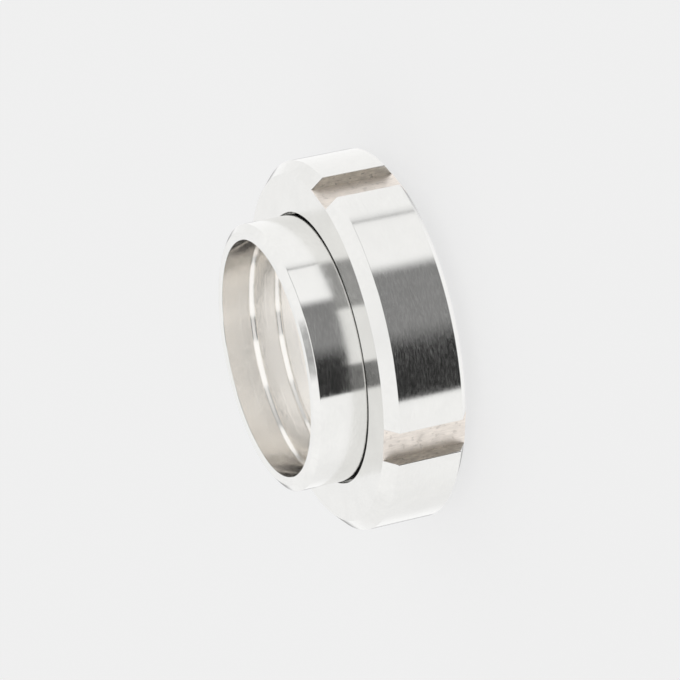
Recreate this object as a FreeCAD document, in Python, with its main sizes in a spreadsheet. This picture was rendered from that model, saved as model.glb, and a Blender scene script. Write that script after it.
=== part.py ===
import FreeCAD, Part
import os
import Sketcher

# Dairy union fitting of nominal size 80, standing on the end of its male part with the liner mouth up.
# +Z is the axis of the fitting, and the origin is the centre of the male part's end face.
# Millimetres throughout. Each piece is drawn from its own lower end, then set at its height in the union.

SIZES = {
    # Tube that both sockets take, and its rolling grooves
    "tube_diameter": 80.6,
    "tube_wall": 1.8,
    "tube_clearance": 0.2,
    "groove_width": 5.4,
    "groove_depth": 0.8,
    "groove_ramp": 1.6,
    "groove_pitch": 9.5,
    "groove_count": 2,
    # Liner
    "barrel_wall": 5.25,
    "barrel_protrusion": 18.0,
    "rim_bevel_run": 2.35,
    "rim_bevel_rise": 1.7,
    "first_land": 6.6,
    "liner_lip": 5.5,
    "collar_shoulder": 4.5,
    "collar_height": 4.0,
    "nose_height": 3.0,
    "nose_taper": 1.5,
    # Round slotted nut
    "barrel_clearance": 0.75,
    "nut_height": 29.0,
    "nut_web": 8.0,
    "nut_wall": 9.8,
    "face_chamfer": 4.0,
    "back_chamfer_rise": 2.8,
    "back_chamfer_run": 4.0,
    "slot_width": 12.5,
    "slot_depth": 4.2,
    "slot_count": 4,
    "relief_height": 4.0,
    "relief_depth": 1.8,
    "thread_entry": 2.0,
    # Knuckle thread, drawn as plain cylinders at its mean diameter
    "collar_clearance": 2.7,
    "thread_clearance": 0.3,
    "thread_lead_in": 1.2,
    "thread_showing": 1.0,
    # Male part
    "male_rim_wall": 5.6,
    "male_rim_gap": 0.8,
    "male_lip": 2.0,
    "hub_wall": 5.25,
    "hub_height": 3.5,
    # Seal ring
    "seal_height": 5.0,
    "seal_clearance": 0.3,
    "seal_bevel": 1.2,
    # Every sharp turned edge
    "edge_break": 0.4,
}

# Radii, from the tube outwards
SOCKET = "(Sizes.tube_diameter / 2 + Sizes.tube_clearance)"
FLOW = "(Sizes.tube_diameter / 2 - Sizes.tube_wall)"
BARREL = f"({SOCKET} + Sizes.barrel_wall)"
NUT_BORE = f"({BARREL} + Sizes.barrel_clearance)"
COLLAR = f"({NUT_BORE} + Sizes.collar_shoulder)"
NUT_THREAD = f"({COLLAR} + Sizes.collar_clearance)"
NUT_SIDE = f"({NUT_THREAD} + Sizes.nut_wall)"
MALE_THREAD = f"({NUT_THREAD} - Sizes.thread_clearance)"
RECESS = f"({MALE_THREAD} - Sizes.male_rim_wall)"
SEAL = f"({RECESS} - Sizes.seal_clearance)"
HUB = f"({SOCKET} + Sizes.hub_wall)"

# Heights of the pieces' lower ends in the closed union
NUT_BASE = "(Sizes.hub_height + Sizes.thread_showing)"
WEB_FACE = "(Sizes.nut_height - Sizes.nut_web)"
LINER_BASE = f"({NUT_BASE} + {WEB_FACE} - Sizes.collar_height - Sizes.nose_height)"
SEAL_BASE = f"({LINER_BASE} - Sizes.seal_height)"
MALE_SOCKET_DEPTH = f"({SEAL_BASE} - Sizes.male_lip)"

doc = FreeCAD.newDocument("DairyUnion")
sheet = doc.addObject("Spreadsheet::Sheet", "Sizes")
for row, (word, number) in enumerate(SIZES.items(), start=1):
    sheet.set(f"A{row}", word)
    sheet.set(f"B{row}", str(number))
    sheet.setAlias(f"B{row}", word)
doc.recompute()


def origin_feature(body, role):
    """Plane or axis of the body's own origin."""
    return next(item for item in body.Origin.OriginFeatures if item.Role == role)


def new_body(label, base):
    """Empty body with its lower end at the height that the expression gives."""
    body = doc.addObject("PartDesign::Body", label)
    body.Label = label
    body.setExpression("Placement.Base.z", base)
    return body


def bind(sketch, kind, line, name, expression):
    """Ties one coordinate of a line's start to the sheet."""
    value = float(sheet.evalExpression(expression))
    index = sketch.addConstraint(Sketcher.Constraint(kind, -1, 1, line, 1, value))
    sketch.renameConstraint(index, name)
    sketch.setExpression(f"Constraints.{name}", expression)


def draw_outline(body, name, role, corners):
    """Closed outline of straight lines on an origin plane. Each corner is (name, across, up)."""
    sketch = body.newObject("Sketcher::SketchObject", name)
    sketch.AttachmentSupport = [(origin_feature(body, role), "")]
    sketch.MapMode = "FlatFace"
    places = [
        FreeCAD.Vector(float(sheet.evalExpression(across)), float(sheet.evalExpression(up)), 0)
        for _, across, up in corners
    ]
    for start, end in zip(places, places[1:] + places[:1]):
        sketch.addGeometry(Part.LineSegment(start, end), False)
    for line in range(len(corners)):
        following = (line + 1) % len(corners)
        sketch.addConstraint(Sketcher.Constraint("Coincident", line, 2, following, 1))
    for line, (corner, across, up) in enumerate(corners):
        bind(sketch, "DistanceX", line, f"{corner}_across", across)
        bind(sketch, "DistanceY", line, f"{corner}_up", up)
    sketch.Visibility = False
    return sketch


def turn(body, kind, name, corners):
    """Turned solid or groove: the outline lies on the XZ plane and goes once round the Z axis."""
    sketch = draw_outline(body, f"{name}_section", "XZ_Plane", corners)
    feature = body.newObject(f"PartDesign::{kind}", name)
    feature.Profile = sketch
    feature.ReferenceAxis = (sketch, ["V_Axis"])
    feature.Angle = 360
    return feature


def roll_groove(body, name, outer_edge, inward):
    """Rolling groove of a tube socket: square edge towards the mouth, ramp on the inner side."""
    floor = f"{SOCKET} + Sizes.groove_depth"
    inside = f"{SOCKET} - Sizes.groove_depth"
    inner_edge = f"{outer_edge} {inward} Sizes.groove_width"
    ramp_start = f"{outer_edge} {inward} (Sizes.groove_width - Sizes.groove_ramp)"
    return turn(body, "Groove", name, [
        ("outer_inside", inside, outer_edge),
        ("outer_floor", floor, outer_edge),
        ("ramp_floor", floor, ramp_start),
        ("ramp_wall", SOCKET, inner_edge),
        ("inner_inside", inside, inner_edge),
    ])


def build_male_part():
    """Threaded half: hub, thread, cone for the liner's nose, seal recess and a tube socket from below."""
    body = new_body("male_part", "0")
    top = f"({LINER_BASE} + Sizes.nose_height - Sizes.male_rim_gap)"
    cone_run = "(Sizes.nose_height - Sizes.male_rim_gap) * Sizes.nose_taper / Sizes.nose_height"
    turn(body, "Revolution", "male_turning", [
        ("socket_mouth", f"{SOCKET} + Sizes.edge_break", "0"),
        ("end_outer", f"{HUB} - Sizes.edge_break", "0"),
        ("hub_edge", HUB, "Sizes.edge_break"),
        ("hub_root", HUB, "Sizes.hub_height"),
        ("runout_foot", f"{MALE_THREAD} - Sizes.thread_lead_in", "Sizes.hub_height"),
        ("runout_top", MALE_THREAD, "Sizes.hub_height + Sizes.thread_lead_in"),
        ("lead_in_foot", MALE_THREAD, f"{top} - Sizes.thread_lead_in"),
        ("lead_in_top", f"{MALE_THREAD} - Sizes.thread_lead_in", top),
        ("cone_mouth", f"{RECESS} + {cone_run}", top),
        ("recess_mouth", RECESS, LINER_BASE),
        ("recess_root", RECESS, SEAL_BASE),
        ("lip_top", FLOW, SEAL_BASE),
        ("lip_foot", FLOW, MALE_SOCKET_DEPTH),
        ("socket_root", SOCKET, MALE_SOCKET_DEPTH),
        ("socket_edge", SOCKET, "Sizes.edge_break"),
    ])
    land = f"({MALE_SOCKET_DEPTH} - Sizes.groove_width) / 2"
    body.Tip = roll_groove(body, "male_groove", land, "+")
    return body


def build_seal_ring():
    """Rubber ring in the male part's recess, flush with the flow bore and bevelled on its outer edges."""
    body = new_body("seal_ring", SEAL_BASE)
    ring = turn(body, "Revolution", "seal_moulding", [
        ("inner_foot", FLOW, "0"),
        ("outer_foot", SEAL, "0"),
        ("outer_top", SEAL, "Sizes.seal_height"),
        ("inner_top", FLOW, "Sizes.seal_height"),
    ])
    doc.recompute()
    middle = float(sheet.evalExpression(f"({SEAL} + {FLOW}) / 2"))
    bevel = body.newObject("PartDesign::Chamfer", "seal_bevel")
    bevel.Base = (ring, [
        f"Edge{number}"
        for number, edge in enumerate(ring.Shape.Edges, start=1)
        if isinstance(edge.Curve, Part.Circle) and edge.Curve.Radius > middle
    ])
    bevel.setExpression("Size", "Sizes.seal_bevel")
    body.Tip = bevel
    return body


def build_liner():
    """Plain half: tapered nose on the seal, collar under the web, barrel and a tube socket from above."""
    body = new_body("liner", LINER_BASE)
    collar_top = "(Sizes.nose_height + Sizes.collar_height)"
    mouth = f"({collar_top} + Sizes.nut_web + Sizes.barrel_protrusion)"
    turn(body, "Revolution", "liner_turning", [
        ("nose_inner", FLOW, "0"),
        ("nose_end", SEAL, "0"),
        ("nose_root", f"{SEAL} + Sizes.nose_taper", "Sizes.nose_height"),
        ("collar_foot", f"{COLLAR} - Sizes.edge_break", "Sizes.nose_height"),
        ("collar_lower_edge", COLLAR, "Sizes.nose_height + Sizes.edge_break"),
        ("collar_upper_edge", COLLAR, f"{collar_top} - Sizes.edge_break"),
        ("collar_top", f"{COLLAR} - Sizes.edge_break", collar_top),
        ("barrel_root", BARREL, collar_top),
        ("bevel_foot", BARREL, f"{mouth} - Sizes.rim_bevel_rise"),
        ("bevel_top", f"{BARREL} - Sizes.rim_bevel_run", mouth),
        ("mouth_edge", f"{SOCKET} + Sizes.edge_break", mouth),
        ("socket_edge", SOCKET, f"{mouth} - Sizes.edge_break"),
        ("socket_root", SOCKET, "Sizes.liner_lip"),
        ("lip_top", FLOW, "Sizes.liner_lip"),
    ])
    groove = roll_groove(body, "liner_groove", f"{mouth} - Sizes.first_land", "-")
    grooves = body.newObject("PartDesign::LinearPattern", "liner_grooves")
    grooves.Originals = [groove]
    grooves.Direction = (groove.Profile[0], ["V_Axis"])
    grooves.Reversed = True
    grooves.setExpression("Length", "Sizes.groove_pitch * (Sizes.groove_count - 1)")
    grooves.setExpression("Occurrences", "Sizes.groove_count")
    body.Tip = grooves
    return body


def build_round_nut():
    """Slotted nut: web over the liner's collar, relief, thread, chamfers and axial spanner slots."""
    body = new_body("round_nut", NUT_BASE)
    relief = f"{NUT_THREAD} + Sizes.relief_depth"
    relief_foot = f"{WEB_FACE} - Sizes.relief_height"
    turn(body, "Revolution", "nut_turning", [
        ("entry_foot", f"{NUT_THREAD} + Sizes.thread_entry", "0"),
        ("back_edge", f"{NUT_SIDE} - Sizes.back_chamfer_run", "0"),
        ("side_foot", NUT_SIDE, "Sizes.back_chamfer_rise"),
        ("side_top", NUT_SIDE, "Sizes.nut_height - Sizes.face_chamfer"),
        ("face_edge", f"{NUT_SIDE} - Sizes.face_chamfer", "Sizes.nut_height"),
        ("bore_face", f"{NUT_BORE} + Sizes.edge_break", "Sizes.nut_height"),
        ("bore_top", NUT_BORE, "Sizes.nut_height - Sizes.edge_break"),
        ("bore_foot", NUT_BORE, WEB_FACE),
        ("relief_top", relief, WEB_FACE),
        ("relief_foot", relief, relief_foot),
        ("thread_top", NUT_THREAD, relief_foot),
        ("thread_foot", NUT_THREAD, "Sizes.thread_entry"),
    ])
    slot_floor = f"{NUT_SIDE} - Sizes.slot_depth"
    past_side = f"{NUT_SIDE} + Sizes.slot_depth"
    slot = body.newObject("PartDesign::Pocket", "spanner_slot")
    slot.Profile = draw_outline(body, "slot_outline", "XY_Plane", [
        ("floor_right", slot_floor, "-Sizes.slot_width / 2"),
        ("past_right", past_side, "-Sizes.slot_width / 2"),
        ("past_left", past_side, "Sizes.slot_width / 2"),
        ("floor_left", slot_floor, "Sizes.slot_width / 2"),
    ])
    slot.Reversed = True
    slot.setExpression("Length", "Sizes.nut_height")
    slots = body.newObject("PartDesign::PolarPattern", "spanner_slots")
    slots.Originals = [slot]
    slots.Axis = (origin_feature(body, "Z_Axis"), [""])
    slots.Angle = 360
    slots.setExpression("Occurrences", "Sizes.slot_count")
    body.Tip = slots
    return body


def check_cut(body, before):
    """A cut that points away from the solid shows no error, so the volume is compared."""
    if body.Shape.Volume >= doc.getObject(before).Shape.Volume:
        raise RuntimeError(f"{body.Label}: the cuts after {before} remove nothing")


def check_all(bodies):
    """Every feature has worked and every piece is one valid solid."""
    for item in doc.Objects:
        if "Invalid" in item.State or "Error" in item.State:
            raise RuntimeError(f"{item.Label} failed: {item.State}")
    for body in bodies:
        if body.Shape.isNull() or not body.Shape.isValid() or len(body.Shape.Solids) != 1:
            raise RuntimeError(f"{body.Label} isn't one valid solid")


male_part = build_male_part()
seal_ring = build_seal_ring()
liner = build_liner()
round_nut = build_round_nut()
pieces = [male_part, seal_ring, liner, round_nut]
doc.recompute()
check_all(pieces)
check_cut(male_part, "male_turning")
check_cut(liner, "liner_turning")
check_cut(round_nut, "nut_turning")

os.makedirs("parts", exist_ok=True)
for piece in pieces:
    piece.Shape.exportStep(os.path.join("parts", f"{piece.Label}.step"))
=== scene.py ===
import math

import bpy
import numpy as np
from mathutils import Matrix, Vector


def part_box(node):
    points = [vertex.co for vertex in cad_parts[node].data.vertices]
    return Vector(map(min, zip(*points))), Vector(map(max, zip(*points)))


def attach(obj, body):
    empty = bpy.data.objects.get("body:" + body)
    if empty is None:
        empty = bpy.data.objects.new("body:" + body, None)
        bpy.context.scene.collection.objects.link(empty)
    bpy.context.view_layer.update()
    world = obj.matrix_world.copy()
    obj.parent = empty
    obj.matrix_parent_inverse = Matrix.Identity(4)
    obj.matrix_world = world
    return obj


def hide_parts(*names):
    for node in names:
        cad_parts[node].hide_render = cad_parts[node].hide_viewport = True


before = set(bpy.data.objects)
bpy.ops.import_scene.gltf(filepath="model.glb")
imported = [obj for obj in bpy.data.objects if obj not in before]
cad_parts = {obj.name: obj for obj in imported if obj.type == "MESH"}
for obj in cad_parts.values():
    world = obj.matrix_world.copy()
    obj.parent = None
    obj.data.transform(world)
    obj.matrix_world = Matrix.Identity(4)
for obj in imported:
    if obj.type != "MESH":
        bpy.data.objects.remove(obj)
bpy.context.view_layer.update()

# A dairy union fitting standing on its male part: round slotted nut, liner, seal ring and male part.
# Metres, in the frame of the solids. The axis of the fitting is +Z.
MM = 0.001

# Heights and radii read from the solids
nut_low, nut_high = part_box("round_nut")
liner_low, liner_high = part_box("liner")
male_low, male_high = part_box("male_part")
seal_low, seal_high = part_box("seal_ring")
NUT_FOOT, NUT_FACE = nut_low.z, nut_high.z
NOSE_END, MOUTH = liner_low.z, liner_high.z
MALE_END, MALE_TOP = male_low.z, male_high.z
SEAL_FOOT, SEAL_TOP = seal_low.z, seal_high.z
COLLAR_RADIUS = liner_high.x
SEAL_RADIUS = seal_high.x

# Sizes that the boxes don't give
SOCKET_RADIUS = 40.5 * MM
FLOW_RADIUS = 38.5 * MM
BARREL_RADIUS = 45.75 * MM
NUT_RADIUS = 63.5 * MM
NUT_BORE_RADIUS = 46.5 * MM
NUT_WEB = 8.0 * MM
FACE_CHAMFER = 4.0 * MM
BACK_CHAMFER_RISE = 2.8 * MM
BACK_CHAMFER_RUN = 4.0 * MM
SLOT_WIDTH = 12.5 * MM
SLOT_DEPTH = 4.2 * MM
SLOT_FLOOR = NUT_RADIUS - SLOT_DEPTH
SLOT_COUNT = 4
RELIEF_RADIUS = 55.5 * MM
RELIEF_HEIGHT = 4.0 * MM
COLLAR_HEIGHT = 4.0 * MM
SEAT_GAP = 0.02 * MM
NOSE_HEIGHT = 3.0 * MM
NOSE_TAPER = 1.5 * MM
RIM_BEVEL_RUN = 2.35 * MM
RIM_BEVEL_RISE = 1.7 * MM
LINER_LIP = 5.5 * MM
FIRST_LAND = 6.6 * MM
GROOVE_PITCH = 9.5 * MM
GROOVE_WIDTH = 5.4 * MM
GROOVE_DEPTH = 0.8 * MM
GROOVE_RAMP = 1.6 * MM
GROOVE_COUNT = 2
HUB_RADIUS = 45.75 * MM
HUB_HEIGHT = 3.5 * MM
RECESS_RADIUS = 47.8 * MM
MALE_LIP = 2.0 * MM
CONE_RUN = 1.1 * MM

# Knuckle thread: pitch, half the profile's height, mean radii in the nut and on the male part, and its ends
THREAD_PITCH = 6.35 * MM
THREAD_HALF_HEIGHT = 1.5875 * MM
NUT_THREAD_RADIUS = 53.7 * MM
MALE_THREAD_RADIUS = 53.4 * MM
THREAD_STEEPNESS = 2.0
THREAD_ENTRY = 2.0 * MM
MALE_TOP_RADIUS = MALE_THREAD_RADIUS - 1.8 * MM
MALE_NECK_RADIUS = MALE_THREAD_RADIUS - THREAD_HALF_HEIGHT - 0.3 * MM
NECK_SLOPE = 1.2
RUN_OUT = 0.35 * THREAD_PITCH

# Roundings of edges, and of a groove's bottom and run-out
EDGE = 0.25 * MM
FINE_EDGE = 0.15 * MM
SOFT_EDGE = 0.4 * MM
RIM_EDGE = 0.45 * MM
GROOVE_BOTTOM = 1.6 * MM
GROOVE_RUN_OUT = 2.5 * MM
SEAL_OUTER_EDGE = 1.2 * MM
SEAL_INNER_EDGE = 0.3 * MM

# Fineness of the meshes
EDGE_STEPS = 3
SEGMENTS = 480
SLOT_ARC_POINTS = 96
SLOT_FLOOR_POINTS = 9
THREAD_ROW = 0.3 * MM
SMOOTH_ANGLE = math.radians(24)
NORMAL_WEIGHT = 80

# Least distance of rings that mustn't meet, plain rings beside the slots and beside the bore, and the reach
# of the points past the ends of an open section, which only guide its last roundings
SLIVER = 0.05 * MM
FACE_STEP = 0.6 * MM
BORE_STEP = 3.2 * MM
GUIDE = 2 * MM

TURN = 2 * math.pi


# Meshes

def add_mesh(name, points, faces, materials, face_material=None):
    """Mesh object with smooth faces, sharp only where it turns by more than the limit."""
    mesh = bpy.data.meshes.new(name)
    mesh.from_pydata([tuple(point) for point in points], [], faces)
    for material in materials:
        mesh.materials.append(material)
    if face_material is not None:
        mesh.polygons.foreach_set("material_index", face_material)
    mesh.polygons.foreach_set("use_smooth", [True] * len(faces))
    mesh.validate()
    mesh.update()
    mesh.set_sharp_from_angle(angle=SMOOTH_ANGLE)
    piece = bpy.data.objects.new(name, mesh)
    bpy.context.scene.collection.objects.link(piece)
    weight = piece.modifiers.new("even_normals", "WEIGHTED_NORMAL")
    weight.keep_sharp = True
    weight.weight = NORMAL_WEIGHT
    return piece


def join_rings(rings):
    """Points and four-sided faces of a closed loop of rings, each with the same number of points."""
    count = len(rings[0])
    points = np.concatenate(rings)
    faces = []
    for ring in range(len(rings)):
        here = ring * count
        following = (ring + 1) % len(rings) * count
        for step in range(count):
            beside = (step + 1) % count
            faces.append((here + step, here + beside, following + beside, following + step))
    return points, faces


def circle(radius, height, angles):
    """One ring of points about the axis."""
    return np.stack([
        radius * np.cos(angles),
        radius * np.sin(angles),
        np.full_like(angles, height) if np.isscalar(height) else height,
    ], axis=1)


def round_corner(before, corner, after, radius):
    """Points of a small arc in place of a corner between two straight runs of a section."""
    before, corner, after = np.array(before), np.array(corner), np.array(after)
    to_before = (before - corner) / np.linalg.norm(before - corner)
    to_after = (after - corner) / np.linalg.norm(after - corner)
    half = 0.5 * math.acos(float(np.clip(to_before @ to_after, -1, 1)))
    reach = radius / math.tan(half)
    longest = 0.45 * min(np.linalg.norm(before - corner), np.linalg.norm(after - corner))
    reach = min(reach, longest)
    radius = reach * math.tan(half)
    bisector = to_before + to_after
    centre = corner + bisector / np.linalg.norm(bisector) * radius / math.sin(half)
    start = corner + to_before * reach - centre
    end = corner + to_after * reach - centre
    sweep = math.pi - 2 * half
    side = 1 if start[0] * end[1] - start[1] * end[0] > 0 else -1
    arc = []
    for step in range(EDGE_STEPS + 1):
        angle = side * sweep * step / EDGE_STEPS
        arc.append(centre + np.array([
            start[0] * math.cos(angle) - start[1] * math.sin(angle),
            start[0] * math.sin(angle) + start[1] * math.cos(angle),
        ]))
    return arc


def round_section(section):
    """Closed section of (radius, height, rounding) with its corners rounded."""
    result = []
    count = len(section)
    for index, (radius, height, rounding) in enumerate(section):
        before = section[index - 1][:2]
        after = section[(index + 1) % count][:2]
        if rounding:
            result.extend(round_corner(before, (radius, height), after, rounding))
        else:
            result.append(np.array([radius, height]))
    return result


def lathe(name, section, materials, pick=None):
    """Turned piece from a closed section. pick gives the material of a run between two of its points."""
    angles = np.arange(SEGMENTS) * TURN / SEGMENTS
    outline = round_section(section)
    rings = [circle(radius, height, angles) for radius, height in outline]
    points, faces = join_rings(rings)
    face_material = None
    if pick:
        face_material = []
        for index, here in enumerate(outline):
            following = outline[(index + 1) % len(outline)]
            face_material += [pick(here, following)] * SEGMENTS
    return add_mesh(name, points, faces, materials, face_material)


# Materials

# Noise patterns as scale, detail and roughness
COARSE_RINGS = (1400.0, 2.0, 0.6)
FINE_RINGS = (6000.0, 3.0, 0.7)
TURNED_CLOUDS = (90.0, 3.0, 0.55)
TURNED_STROKES = (1700.0, 3.0, 0.55)
TORN_STROKES = (1900.0, 4.0, 0.65)
PITS = (1500.0, 3.0, 0.6)
SCARS = (620.0, 2.0, 0.5)
WORN_CLOUDS = (260.0, 3.0, 0.6)
RUBBER_CLOUDS = (400.0, 3.0, 0.6)
RUBBER_GRAIN = (9000.0, 2.0, 0.6)

# How the patterns are slanted, weighed, stretched and cut
RING_SLANT = 1.37
COARSE_SHARE = 0.45
STROKE_STRETCH = 0.28
TONE_SPREAD = 0.04
TORN_STRETCH = 0.16
SCAR_EDGES = (0.6, 0.66)
SCAR_DEPTH = 1.6


class Nodes:
    """Short way to add and join the nodes of one tree."""

    def __init__(self, tree):
        self.tree = tree
        self.tree.nodes.clear()

    def add(self, kind, **values):
        node = self.tree.nodes.new(kind)
        for name, value in values.items():
            setattr(node, name, value)
        return node

    def join(self, source, target):
        self.tree.links.new(source, target)

    def math(self, operation, first, second=None):
        node = self.add("ShaderNodeMath", operation=operation)
        for socket, value in zip(node.inputs, (first, second)):
            if value is None:
                continue
            if isinstance(value, (int, float)):
                socket.default_value = value
            else:
                self.join(value, socket)
        return node.outputs[0]

    def noise(self, pattern, source, dimensions="3D"):
        """Noise of a pattern at a place or, in 1D, along a length."""
        node = self.add("ShaderNodeTexNoise", noise_dimensions=dimensions)
        for name, value in zip(("Scale", "Detail", "Roughness"), pattern):
            node.inputs[name].default_value = value
        self.join(source, node.inputs["W" if dimensions == "1D" else "Vector"])
        return node.outputs[0]

    def spread(self, value, low, high):
        """Maps a noise's middle range to the range from low to high."""
        node = self.add("ShaderNodeMapRange")
        node.inputs["From Min"].default_value = 0.3
        node.inputs["From Max"].default_value = 0.7
        node.inputs["To Min"].default_value = low
        node.inputs["To Max"].default_value = high
        self.join(value, node.inputs["Value"])
        return node.outputs[0]


def blend_levels(nodes, share, first, second):
    """first where share is 0, second where it is 1."""
    mix = nodes.add("ShaderNodeMix", data_type="FLOAT")
    nodes.join(share, mix.inputs[0])
    for socket, value in ((mix.inputs[2], first), (mix.inputs[3], second)):
        if isinstance(value, float):
            socket.default_value = value
        else:
            nodes.join(value, socket)
    return mix.outputs[0]


def mix_colours(nodes, share, first, second):
    """first where share is 0, second where it is 1."""
    mix = nodes.add("ShaderNodeMix", data_type="RGBA")
    mix.inputs[6].default_value = (*first, 1)
    mix.inputs[7].default_value = (*second, 1)
    nodes.join(share, mix.inputs[0])
    return mix.outputs[2]


def add_bump(nodes, height, distance, strength=1.0):
    """Normal of a surface that the height lifts by up to the distance."""
    bump = nodes.add("ShaderNodeBump")
    bump.inputs["Strength"].default_value = strength
    bump.inputs["Distance"].default_value = distance
    nodes.join(height, bump.inputs["Height"])
    return bump.outputs[0]


def new_material(name):
    """Material with an empty tree, the nodes of that tree, and the place on the object."""
    material = bpy.data.materials.new(name)
    material.use_nodes = True
    nodes = Nodes(material.node_tree)
    return material, nodes, nodes.add("ShaderNodeTexCoord").outputs["Object"]


def add_shader(nodes, colour, roughness, normal):
    """Principled shader joined to the output of its tree."""
    shader = nodes.add("ShaderNodeBsdfPrincipled")
    nodes.join(colour, shader.inputs["Base Color"])
    nodes.join(roughness, shader.inputs["Roughness"])
    nodes.join(normal, shader.inputs["Normal"])
    output = nodes.add("ShaderNodeOutputMaterial")
    nodes.join(shader.outputs[0], output.inputs["Surface"])
    return shader


def rise(nodes, value, low, high):
    """0 below low, 1 above high, smooth between them."""
    node = nodes.add("ShaderNodeMapRange", interpolation_type="SMOOTHSTEP")
    node.inputs["From Min"].default_value = low
    node.inputs["From Max"].default_value = high
    nodes.join(value, node.inputs["Value"])
    return node.outputs[0]


def turned_steel(name, colour, roughness, unevenness, anisotropy, line_depth, stroke_depth):
    """Bright steel with the fine rings of a turning tool, square to the axis of the fitting."""
    material, nodes, place = new_material(name)
    split = nodes.add("ShaderNodeSeparateXYZ")
    nodes.join(place, split.inputs[0])
    radius = nodes.math("SQRT", nodes.math(
        "ADD",
        nodes.math("MULTIPLY", split.outputs["X"], split.outputs["X"]),
        nodes.math("MULTIPLY", split.outputs["Y"], split.outputs["Y"]),
    ))
    along = nodes.math("ADD", radius, nodes.math("MULTIPLY", split.outputs["Z"], RING_SLANT))
    drawn = nodes.add("ShaderNodeCombineXYZ")
    nodes.join(along, drawn.inputs["X"])
    nodes.join(nodes.math("MULTIPLY", split.outputs["X"], STROKE_STRETCH), drawn.inputs["Y"])
    nodes.join(nodes.math("MULTIPLY", split.outputs["Y"], STROKE_STRETCH), drawn.inputs["Z"])
    coarse = nodes.noise(COARSE_RINGS, along, "1D")
    fine = nodes.noise(FINE_RINGS, along, "1D")
    cloud = nodes.noise(TURNED_CLOUDS, place)
    strokes = nodes.noise(TURNED_STROKES, drawn.outputs[0])
    rings = nodes.math(
        "ADD",
        nodes.math("MULTIPLY", coarse, COARSE_SHARE),
        nodes.math("MULTIPLY", fine, 1 - COARSE_SHARE),
    )
    relief = nodes.math(
        "ADD",
        nodes.math("MULTIPLY", rings, line_depth / MM),
        nodes.math("MULTIPLY", strokes, stroke_depth / MM),
    )
    worn = nodes.math("ADD", nodes.spread(cloud, 0.0, 0.5), nodes.spread(strokes, 0.0, 0.5))
    tone = mix_colours(
        nodes,
        worn,
        [channel * (1 - TONE_SPREAD) for channel in colour],
        [min(channel * (1 + TONE_SPREAD), 1) for channel in colour],
    )
    rough = nodes.math(
        "ADD",
        nodes.spread(strokes, roughness - unevenness, roughness + unevenness),
        nodes.math("MULTIPLY", nodes.math("SUBTRACT", cloud, 0.5), unevenness),
    )
    shader = add_shader(nodes, tone, rough, add_bump(nodes, relief, MM))
    shader.inputs["Metallic"].default_value = 1.0
    shader.inputs["Anisotropic"].default_value = anisotropy
    shader.inputs["Anisotropic Rotation"].default_value = 0.25
    tangent = nodes.add("ShaderNodeTangent", direction_type="RADIAL", axis="Z")
    nodes.join(tangent.outputs[0], shader.inputs["Tangent"])
    return material


def milled_steel(name, colour, shade, roughness, line_depth):
    """Rougher steel of the spanner slots: torn strokes along the slot, pits, scars and a warm cast."""
    material, nodes, place = new_material(name)
    stretch = nodes.add("ShaderNodeMapping")
    stretch.inputs["Scale"].default_value = (1.0, 1.0, TORN_STRETCH)
    nodes.join(place, stretch.inputs["Vector"])
    strokes = nodes.noise(TORN_STROKES, stretch.outputs[0])
    pits = nodes.noise(PITS, place)
    scars = rise(nodes, nodes.noise(SCARS, place), *SCAR_EDGES)
    cloud = nodes.noise(WORN_CLOUDS, place)
    relief = nodes.math("ADD", nodes.math("MULTIPLY", strokes, 0.6), nodes.math("MULTIPLY", pits, 0.6))
    relief = nodes.math("SUBTRACT", relief, nodes.math("MULTIPLY", scars, SCAR_DEPTH))
    worn = nodes.math("ADD", nodes.spread(cloud, 0.0, 0.4), nodes.spread(strokes, 0.0, 0.6))
    worn = nodes.math("SUBTRACT", worn, nodes.math("MULTIPLY", scars, 0.5))
    tone = mix_colours(nodes, worn, [channel * shade for channel in colour], colour)
    rough = nodes.spread(pits, roughness - 0.06, roughness + 0.08)
    shader = add_shader(nodes, tone, rough, add_bump(nodes, relief, line_depth))
    shader.inputs["Metallic"].default_value = 1.0
    return material


def moulded_rubber(name, colour):
    """Matt food rubber with a faint bloom."""
    material, nodes, place = new_material(name)
    cloud = nodes.noise(RUBBER_CLOUDS, place)
    grain = nodes.noise(RUBBER_GRAIN, place)
    tone = mix_colours(
        nodes,
        nodes.spread(cloud, 0.0, 1.0),
        [channel * 0.85 for channel in colour],
        [channel * 1.25 for channel in colour],
    )
    add_shader(nodes, tone, nodes.spread(cloud, 0.5, 0.62), add_bump(nodes, grain, 0.02 * MM, 0.6))
    return material


NUT_STEEL = turned_steel(
    "nut_steel", (0.838, 0.834, 0.816), roughness=0.14, unevenness=0.04, anisotropy=0.92,
    line_depth=0.002 * MM, stroke_depth=0.004 * MM,
)
LINER_STEEL = turned_steel(
    "liner_steel", (0.848, 0.844, 0.826), roughness=0.13, unevenness=0.035, anisotropy=0.95,
    line_depth=0.001 * MM, stroke_depth=0.002 * MM,
)
# Bore steel: a rougher turned finish, whose colour is painted lighter and warmer than the outside steel's to
# brighten the bore: painted light
BORE_STEEL_PAINTED_LIGHT = turned_steel(
    "bore_steel_painted_light", (0.965, 0.94, 0.905), roughness=0.175, unevenness=0.05, anisotropy=0.95,
    line_depth=0.0015 * MM, stroke_depth=0.004 * MM,
)
# Slot walls: the milled steel's own uneven tone, with a darker dark end than the slot floors' that paints
# shade on the walls
SLOT_WALL_STEEL_PAINTED_SHADE = milled_steel(
    "slot_wall_steel_painted_shade", (1.0, 0.955, 0.88), shade=0.5, roughness=0.44, line_depth=0.045 * MM
)
SLOT_FLOOR_STEEL = milled_steel(
    "slot_floor_steel", (1.0, 0.93, 0.86), shade=0.74, roughness=0.42, line_depth=0.035 * MM
)
SEAL_RUBBER = moulded_rubber("seal_rubber", (0.035, 0.035, 0.04))


# Pieces

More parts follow.
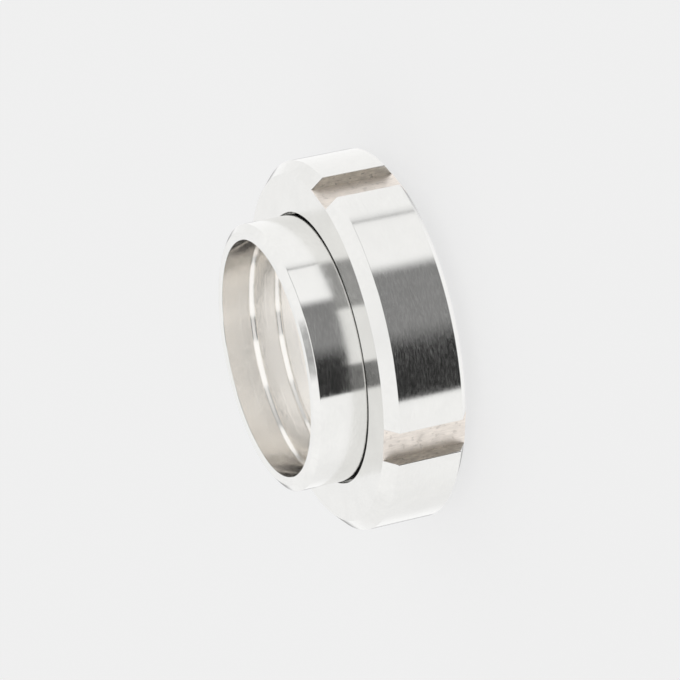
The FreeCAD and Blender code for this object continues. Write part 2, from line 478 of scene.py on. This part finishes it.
def knuckle(height, angles):
    """Height of the knuckle thread's profile, from -1 to 1, on a right-hand helix."""
    phase = TURN * height / THREAD_PITCH - angles
    return np.tanh(THREAD_STEEPNESS * np.cos(phase)) / math.tanh(THREAD_STEEPNESS)


def thread_rings(low, high, mean, angles, limit):
    """Rings of a threaded wall. limit(radius, height) trims the wall at its chamfers and run-out."""
    rows = max(int(round((high - low) / THREAD_ROW)), 2)
    rings = []
    for row in range(rows + 1):
        height = low + (high - low) * row / rows
        radius = mean + THREAD_HALF_HEIGHT * knuckle(height, angles)
        rings.append(circle(limit(radius, height), height, angles))
    return rings


def turned(points, angle):
    """Points of a plane, turned about its origin."""
    cos, sin = math.cos(angle), math.sin(angle)
    return [(x * cos - y * sin, x * sin + y * cos) for x, y in points]


def slot_outline(radius):
    """Points of the nut's outline at one height: arcs of a radius, broken by the spanner slots.

    Returns the points and, for each, the material up to the next one: 0 outside, 1 on a slot's wall, 2 on
    its floor."""
    half_width = SLOT_WIDTH / 2
    rounding = min(EDGE, 0.4 * (radius - SLOT_FLOOR))
    corner = math.sqrt(radius ** 2 - (half_width + rounding) ** 2)
    wall_height = corner - rounding - SLOT_FLOOR
    quarter_turn = TURN / SLOT_COUNT
    start = math.asin((half_width + rounding) / radius)
    floor = [(SLOT_FLOOR, y) for y in np.linspace(-half_width, half_width, SLOT_FLOOR_POINTS)]
    wall = [(SLOT_FLOOR + wall_height * share, half_width) for share in (0.5, 1.0)]
    wall.append((corner - 0.3 * rounding, half_width + 0.3 * rounding))
    arc = []
    for angle in np.linspace(start, quarter_turn - start, SLOT_ARC_POINTS + 1):
        arc.append((radius * math.cos(angle), radius * math.sin(angle)))
    next_wall = turned([(x, -y) for x, y in reversed(wall)], quarter_turn)
    quarter = floor + wall + arc + next_wall
    materials = [2] * (SLOT_FLOOR_POINTS - 1) + [1] * 2 + [0] * (len(arc) + 3) + [1] * 2
    points = []
    for slot in range(SLOT_COUNT):
        points += turned(quarter, slot * quarter_turn)
    return np.array(points), materials * SLOT_COUNT


def build_round_nut():
    """Nut: slotted outside, web and bore in front, relief and knuckle thread inside."""
    web_face = NUT_FACE - NUT_WEB
    relief_foot = web_face - RELIEF_HEIGHT
    outside = round_section([
        (SLOT_FLOOR - GUIDE, NUT_FOOT, 0),
        (NUT_RADIUS - BACK_CHAMFER_RUN, NUT_FOOT, EDGE),
        (NUT_RADIUS, NUT_FOOT + BACK_CHAMFER_RISE, EDGE),
        (NUT_RADIUS, NUT_FACE - FACE_CHAMFER, EDGE),
        (NUT_RADIUS - FACE_CHAMFER, NUT_FACE, FINE_EDGE),
        (SLOT_FLOOR - GUIDE, NUT_FACE, 0),
    ])[1:-1]
    rings = []
    for radius, height in outside:
        outline, materials = slot_outline(max(radius, SLOT_FLOOR + SLIVER))
        rings.append(np.column_stack([outline, np.full(len(outline), height)]))
    angles = np.unwrap(np.arctan2(rings[0][:, 1], rings[0][:, 0]))
    slot_rows = len(rings) - 1
    face_steps = (SLOT_FLOOR - FACE_STEP, NUT_BORE_RADIUS + BORE_STEP)
    rings += [circle(radius, NUT_FACE, angles) for radius in face_steps]
    bore = round_section([
        (NUT_BORE_RADIUS + GUIDE, NUT_FACE, 0),
        (NUT_BORE_RADIUS, NUT_FACE, SOFT_EDGE),
        (NUT_BORE_RADIUS, web_face, EDGE),
        (RELIEF_RADIUS, web_face, EDGE),
        (RELIEF_RADIUS, relief_foot, EDGE),
        (NUT_THREAD_RADIUS, relief_foot, 0),
    ])[1:-1]
    rings += [circle(radius, height, angles) for radius, height in bore]

    def limit(radius, height):
        entry = NUT_THREAD_RADIUS + THREAD_ENTRY - (height - NUT_FOOT)
        fade = np.clip((relief_foot - height) / RUN_OUT, 0, 1)
        return np.maximum(RELIEF_RADIUS - (RELIEF_RADIUS - radius) * fade, entry)

    rings += thread_rings(relief_foot - 2 * SLIVER, NUT_FOOT, NUT_THREAD_RADIUS, angles, limit)
    rings.append(circle(SLOT_FLOOR - FACE_STEP, NUT_FOOT, angles))
    points, faces = join_rings(rings)
    plain = [0] * (len(rings) - slot_rows) * len(materials)
    steels = [NUT_STEEL, SLOT_WALL_STEEL_PAINTED_SHADE, SLOT_FLOOR_STEEL]
    nut = add_mesh("round_nut_steel", points, faces, steels, materials * slot_rows + plain)
    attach(nut, "nut")
    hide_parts("round_nut")

def socket_section(mouth, root, groove_starts, inward):
    """Wall of a tube socket from its mouth to its root, with rolling grooves."""
    wall = []
    for start in groove_starts:
        outer_edge = mouth + inward * start
        inner_edge = outer_edge + inward * GROOVE_WIDTH
        ramp_start = inner_edge - inward * GROOVE_RAMP
        wall += [
            (SOCKET_RADIUS, outer_edge, FINE_EDGE),
            (SOCKET_RADIUS + GROOVE_DEPTH, outer_edge, FINE_EDGE),
            (SOCKET_RADIUS + GROOVE_DEPTH, ramp_start, GROOVE_BOTTOM),
            (SOCKET_RADIUS, inner_edge, GROOVE_RUN_OUT),
        ]
    wall += [(SOCKET_RADIUS, root, FINE_EDGE), (FLOW_RADIUS, root, EDGE)]
    return wall


def in_tube_bore(here, following):
    """Whether a run of a section is a wall of the tube's way."""
    return max(here[0], following[0]) < SOCKET_RADIUS + GROOVE_DEPTH + 2 * SLIVER


def build_liner():
    """Liner: tapered nose, collar, barrel with a bevelled rim, and the grooved socket."""
    nose_root = NOSE_END + NOSE_HEIGHT
    collar_top = nose_root + COLLAR_HEIGHT - SEAT_GAP
    starts = [FIRST_LAND + GROOVE_PITCH * index for index in range(GROOVE_COUNT)]
    section = [
        (FLOW_RADIUS, NOSE_END, EDGE),
        (SEAL_RADIUS, NOSE_END, EDGE),
        (SEAL_RADIUS + NOSE_TAPER, nose_root, 0),
        (COLLAR_RADIUS, nose_root, EDGE),
        (COLLAR_RADIUS, collar_top, EDGE),
        (BARREL_RADIUS, collar_top, 0),
        (BARREL_RADIUS, MOUTH - RIM_BEVEL_RISE, SOFT_EDGE),
        (BARREL_RADIUS - RIM_BEVEL_RUN, MOUTH, EDGE),
        (SOCKET_RADIUS, MOUTH, RIM_EDGE),
    ] + socket_section(MOUTH, NOSE_END + LINER_LIP, starts, -1)

    def pick(here, following):
        below_rim = min(here[1], following[1]) < MOUTH - RIM_EDGE - SLIVER
        return 1 if below_rim and in_tube_bore(here, following) else 0

    liner = lathe("liner_steel_body", section, [LINER_STEEL, BORE_STEEL_PAINTED_LIGHT], pick)
    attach(liner, "liner")
    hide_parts("liner")

def build_male_part():
    """Male part: hub, knuckle thread, cone, seal recess and socket."""
    angles = np.arange(SEGMENTS) * TURN / SEGMENTS
    socket_root = SEAL_FOOT - MALE_LIP
    start = (socket_root - GROOVE_WIDTH) / 2
    inside = round_section([
        (MALE_TOP_RADIUS, MALE_TOP, 0),
        (RECESS_RADIUS + CONE_RUN, MALE_TOP, EDGE),
        (RECESS_RADIUS, SEAL_TOP, 0),
        (RECESS_RADIUS, SEAL_FOOT, EDGE),
        (FLOW_RADIUS, SEAL_FOOT, 0),
    ])[:-1]
    socket = round_section(
        [(RECESS_RADIUS, SEAL_FOOT, 0), (FLOW_RADIUS, SEAL_FOOT, EDGE)]
        + list(reversed(socket_section(MALE_END, socket_root, [start], 1)))
        + [
            (SOCKET_RADIUS, MALE_END, SOFT_EDGE),
            (HUB_RADIUS, MALE_END, SOFT_EDGE),
            (HUB_RADIUS, MALE_END + HUB_HEIGHT, EDGE),
            (MALE_NECK_RADIUS, MALE_END + HUB_HEIGHT, 0),
        ]
    )[1:]
    outline = inside + socket
    rings = [circle(radius, height, angles) for radius, height in outline]
    low = MALE_END + HUB_HEIGHT

    def limit(radius, height):
        top_cone = MALE_TOP_RADIUS + MALE_TOP - height
        foot_cone = MALE_NECK_RADIUS + (height - low) * NECK_SLOPE
        return np.minimum(np.minimum(radius, top_cone), foot_cone)

    rings += thread_rings(low + SLIVER, MALE_TOP - SLIVER, MALE_THREAD_RADIUS, angles, limit)
    points, faces = join_rings(rings)
    # The male part's bore takes the bore steel, with its painted light
    materials = []
    for here, following in zip(outline, outline[1:]):
        lined = in_tube_bore(here, following) and here[1] < SEAL_FOOT
        materials += [1 if lined else 0] * SEGMENTS
    materials += [0] * (len(faces) - len(materials))
    male = add_mesh("male_part_steel", points, faces, [NUT_STEEL, BORE_STEEL_PAINTED_LIGHT], materials)
    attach(male, "male")
    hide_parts("male_part")

def build_seal_ring():
    """Seal ring: moulded, rounded outside and nearly square inside."""
    section = [
        (FLOW_RADIUS, SEAL_FOOT, SEAL_INNER_EDGE),
        (SEAL_RADIUS, SEAL_FOOT, SEAL_OUTER_EDGE),
        (SEAL_RADIUS, SEAL_TOP, SEAL_OUTER_EDGE),
        (FLOW_RADIUS, SEAL_TOP, SEAL_INNER_EDGE),
    ]
    seal = lathe("seal_ring_rubber", section, [SEAL_RUBBER])
    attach(seal, "male")
    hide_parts("seal_ring")

build_round_nut()
build_liner()
build_male_part()
build_seal_ring()


# Camera, at the photograph's viewing angle. The photograph shows the fitting lying over, so the camera
# is rolled.
PHOTO_SIZE = 680
SENSOR = 36.0
FOCAL_PIXELS = 3783.4
CAMERA_AZIMUTH = math.radians(36.95)
CAMERA_ELEVATION = math.radians(19.05)
CAMERA_ROLL = math.radians(102.18)
CAMERA_DISTANCE = 20.044 * NUT_RADIUS
FACE_PIXEL = (-25.38, 8.11)


def add_camera():
    """Camera aimed so that the centre of the nut's face lands on its pixel, counted from the middle."""
    back = Vector((
        math.sin(CAMERA_AZIMUTH) * math.cos(CAMERA_ELEVATION),
        -math.cos(CAMERA_AZIMUTH) * math.cos(CAMERA_ELEVATION),
        math.sin(CAMERA_ELEVATION),
    ))
    level_right = Vector((0, 0, 1)).cross(back).normalized()
    level_up = back.cross(level_right)
    right = math.cos(CAMERA_ROLL) * level_right - math.sin(CAMERA_ROLL) * level_up
    up = math.sin(CAMERA_ROLL) * level_right + math.cos(CAMERA_ROLL) * level_up
    across = FACE_PIXEL[0] * CAMERA_DISTANCE / FOCAL_PIXELS
    down = FACE_PIXEL[1] * CAMERA_DISTANCE / FOCAL_PIXELS
    face_centre = Vector((0, 0, NUT_FACE))
    place = face_centre - across * right + down * up + CAMERA_DISTANCE * back
    data = bpy.data.cameras.new("camera")
    data.sensor_width = SENSOR
    data.lens = FOCAL_PIXELS * SENSOR / PHOTO_SIZE
    data.clip_start = 0.05
    data.clip_end = 50
    camera = bpy.data.objects.new("camera", data)
    turn = Matrix((right, up, back)).transposed()
    camera.matrix_world = Matrix.Translation(place) @ turn.to_4x4()
    bpy.context.scene.collection.objects.link(camera)
    bpy.context.scene.camera = camera


# Stage

FLOOR_SIZE = 12.0
FLOOR_WHITE = 0.86
FLOOR_SEEN = 0.875
FLOOR_GLOW = 0.8

# What glossy rays see of the floor right under the bore: a pale disc with a darker middle
BORE_VIEW = 43 * MM
BORE_SHADE = (11 * MM, 16 * MM)
BORE_DARK = 0.3
BORE_BRIGHT = 1.04

# Brightness of the studio round the fitting, below the horizon and above it. Each step is (angle, half its
# width, brightness past it), with the angle in degrees from the camera's side. The first brightness holds
# from the far side on.
LOW_START = 0.4
LOW_STEPS = [
    (-170, 4, 1.04),
    (-76.5, 2.5, 0.86),
    (-73.6, 0.3, 0.3),
    (-72.2, 0.3, 1.04),
    (-38, 4.5, 0.24),
    (6, 9, 0.025),
    (43, 0.6, 1.02),
    (115, 20, 0.95),
    (150, 10, 1.04),
    (168, 4, 0.4),
]
HIGH_START = 0.98
HIGH_STEPS = [
    (-120, 20, 1.04),
    (-72, 4, 0.27),
    (-27, 3, 1.04),
    (20, 2, 0.075),
    (43, 2, 1.0),
    (120, 20, 0.98),
]

# Heights at which the studio changes, as sines of the elevation, and its brightness deep down and overhead
DEEP_TOP = -0.58
DEEP = 1.04
HORIZON = 0.0
CEILING_FOOT = 0.47
CEILING = 1.04
CROWN_FOOT = 0.98
CROWN_SOFTNESS = 0.012
CROWN = 0.42
SOFTNESS = 0.06


def add_floor():
    """Wide pale floor. Reflections look through it to the studio below, as under a glass table."""
    material = bpy.data.materials.new("floor_paint")
    material.use_nodes = True
    nodes = Nodes(material.node_tree)
    diffuse = nodes.add("ShaderNodeBsdfDiffuse")
    diffuse.inputs["Color"].default_value = (FLOOR_WHITE, FLOOR_WHITE, FLOOR_WHITE, 1)
    glow = nodes.add("ShaderNodeEmission")
    glow.inputs["Color"].default_value = (FLOOR_SEEN, FLOOR_SEEN, FLOOR_SEEN, 1)
    clear = nodes.add("ShaderNodeBsdfTransparent")
    below = nodes.add("ShaderNodeMixShader")
    bright = nodes.add("ShaderNodeEmission")
    place = nodes.add("ShaderNodeNewGeometry").outputs["Position"]
    reach = nodes.add("ShaderNodeVectorMath", operation="LENGTH")
    nodes.join(place, reach.inputs[0])
    under = rise(nodes, reach.outputs["Value"], *BORE_SHADE)
    nodes.join(blend_levels(nodes, under, BORE_DARK, BORE_BRIGHT), bright.inputs["Color"])
    nodes.join(nodes.math("LESS_THAN", reach.outputs["Value"], BORE_VIEW), below.inputs["Fac"])
    nodes.join(clear.outputs[0], below.inputs[1])
    nodes.join(bright.outputs[0], below.inputs[2])
    rays = nodes.add("ShaderNodeLightPath")
    seen = nodes.add("ShaderNodeMixShader")
    nodes.join(nodes.math("MULTIPLY", rays.outputs["Is Camera Ray"], FLOOR_GLOW), seen.inputs["Fac"])
    nodes.join(diffuse.outputs[0], seen.inputs[1])
    nodes.join(glow.outputs[0], seen.inputs[2])
    mix = nodes.add("ShaderNodeMixShader")
    nodes.join(rays.outputs["Is Glossy Ray"], mix.inputs["Fac"])
    nodes.join(seen.outputs[0], mix.inputs[1])
    nodes.join(below.outputs[0], mix.inputs[2])
    output = nodes.add("ShaderNodeOutputMaterial")
    nodes.join(mix.outputs[0], output.inputs["Surface"])
    mesh = bpy.data.meshes.new("floor")
    corners = [(x * FLOOR_SIZE, y * FLOOR_SIZE, 0) for x, y in ((-1, -1), (1, -1), (1, 1), (-1, 1))]
    mesh.from_pydata(corners, [], [(0, 1, 2, 3)])
    mesh.materials.append(material)
    floor = bpy.data.objects.new("floor", mesh)
    bpy.context.scene.collection.objects.link(floor)


def stepped(nodes, angle, start, steps):
    """Brightness that changes with an angle in smooth steps."""
    level = start
    total = None
    for place, half_width, following in steps:
        step = nodes.add("ShaderNodeMapRange", interpolation_type="SMOOTHSTEP")
        step.inputs["From Min"].default_value = place - half_width
        step.inputs["From Max"].default_value = place + half_width
        step.inputs["To Max"].default_value = following - level
        nodes.join(angle, step.inputs["Value"])
        total = nodes.math("ADD", step.outputs[0], start if total is None else total)
        level = following
    return total


def add_studio():
    """Studio as a world: upright bands of white, grey and black, others above the horizon, and a ceiling."""
    world = bpy.data.worlds.new("studio")
    bpy.context.scene.world = world
    world.use_nodes = True
    nodes = Nodes(world.node_tree)
    direction = nodes.add("ShaderNodeTexCoord").outputs["Generated"]
    split = nodes.add("ShaderNodeSeparateXYZ")
    nodes.join(direction, split.inputs[0])
    azimuth = nodes.math("ARCTAN2", split.outputs["Y"], split.outputs["X"])
    turned = nodes.math("SUBTRACT", CAMERA_AZIMUTH - math.pi / 2, azimuth)
    wrapped = nodes.add("ShaderNodeMath", operation="WRAP")
    nodes.join(turned, wrapped.inputs[0])
    wrapped.inputs[1].default_value = math.pi
    wrapped.inputs[2].default_value = -math.pi
    angle = nodes.math("MULTIPLY", wrapped.outputs[0], math.degrees(1))
    low = stepped(nodes, angle, LOW_START, LOW_STEPS)
    high = stepped(nodes, angle, HIGH_START, HIGH_STEPS)
    level = DEEP
    changes = (
        (DEEP_TOP, SOFTNESS, low),
        (HORIZON, SOFTNESS, high),
        (CEILING_FOOT, SOFTNESS, CEILING),
        (CROWN_FOOT, CROWN_SOFTNESS, CROWN),
    )
    for height, softness, above in changes:
        share = rise(nodes, split.outputs["Z"], height - softness, height + softness)
        level = blend_levels(nodes, share, level, above)
    background = nodes.add("ShaderNodeBackground")
    nodes.join(level, background.inputs["Color"])
    output = nodes.add("ShaderNodeOutputWorld")
    nodes.join(background.outputs[0], output.inputs["Surface"])


add_camera()
add_floor()
add_studio()

bpy.context.scene.view_settings.view_transform = "Standard"
